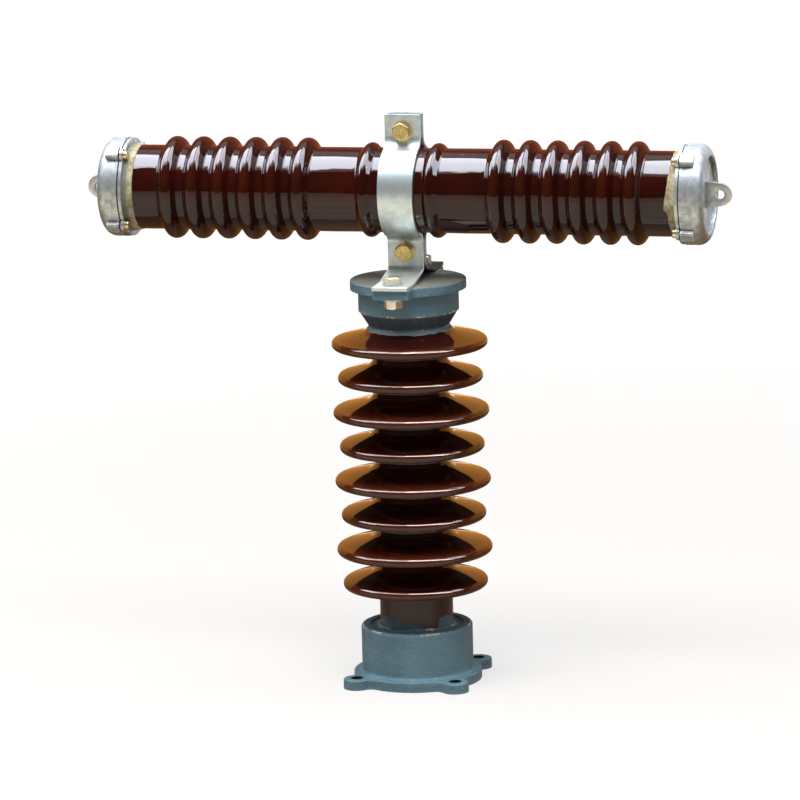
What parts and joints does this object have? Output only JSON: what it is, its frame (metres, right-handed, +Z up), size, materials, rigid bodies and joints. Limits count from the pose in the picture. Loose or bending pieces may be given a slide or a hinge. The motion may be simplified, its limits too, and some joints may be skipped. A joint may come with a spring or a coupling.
{
  "type": "high-voltage current-limiting fuse on a post insulator",
  "caption": "Ribbed porcelain fuse tube with metal end caps and terminal tabs, strapped across the top of a shedded porcelain post insulator on a lugged cast base.",
  "frame": {"origin": "centre of the base flange on its underside", "axes": "+Z up the post, +X along the fuse tube, -Y towards the heads of the clamp bolts"},
  "size_m": [0.6428, 0.1526, 0.562],
  "materials": {
    "glazed_porcelain": "gloss",
    "painted_cast_iron": "satin",
    "painted_cement": "matte",
    "zinc_plated_steel": "satin",
    "yellow_zinc_steel": "satin",
    "cast_aluminium": "satin",
    "grey_aluminium": "matte",
    "cream_cement": "matte",
    "gasket_rubber": "matte",
    "quartz_sand": "matte"
  },
  "bodies": {
    "root": {"base_cement": "painted_cement", "base_flange": "painted_cast_iron", "cap_gasket_left": "gasket_rubber", "cap_gasket_right": "gasket_rubber", "cap_screws_left": "yellow_zinc_steel", "cap_screws_right": "yellow_zinc_steel", "cement_collar_left": "cream_cement", "cement_collar_right": "cream_cement", "clamp_bolt_lower": "yellow_zinc_steel", "clamp_bolt_upper": "yellow_zinc_steel", "clamp_nut_lower": "yellow_zinc_steel", "clamp_nut_upper": "yellow_zinc_steel", "clamp_strap_front": "zinc_plated_steel", "clamp_strap_rear": "zinc_plated_steel", "clamp_washer_lower_front": "zinc_plated_steel", "clamp_washer_lower_rear": "zinc_plated_steel", "clamp_washer_upper_front": "zinc_plated_steel", "clamp_washer_upper_rear": "zinc_plated_steel", "end_cap_left": "cast_aluminium", "end_cap_right": "cast_aluminium", "flange_ring_left": "cast_aluminium", "flange_ring_right": "cast_aluminium", "foot_bolt_front": "zinc_plated_steel", "foot_bolt_rear": "zinc_plated_steel", "foot_nut_front": "zinc_plated_steel", "foot_nut_rear": "zinc_plated_steel", "foot_washer_top_front": "zinc_plated_steel", "foot_washer_top_rear": "zinc_plated_steel", "foot_washer_under_front": "zinc_plated_steel", "foot_washer_under_rear": "zinc_plated_steel", "fuse_tube": "glazed_porcelain", "post_porcelain": "glazed_porcelain", "sand_filling": "quartz_sand", "terminal_tab_left": "grey_aluminium", "terminal_tab_right": "grey_aluminium", "top_cap": "painted_cast_iron", "top_cement": "painted_cement"}
  },
  "joints": []
}
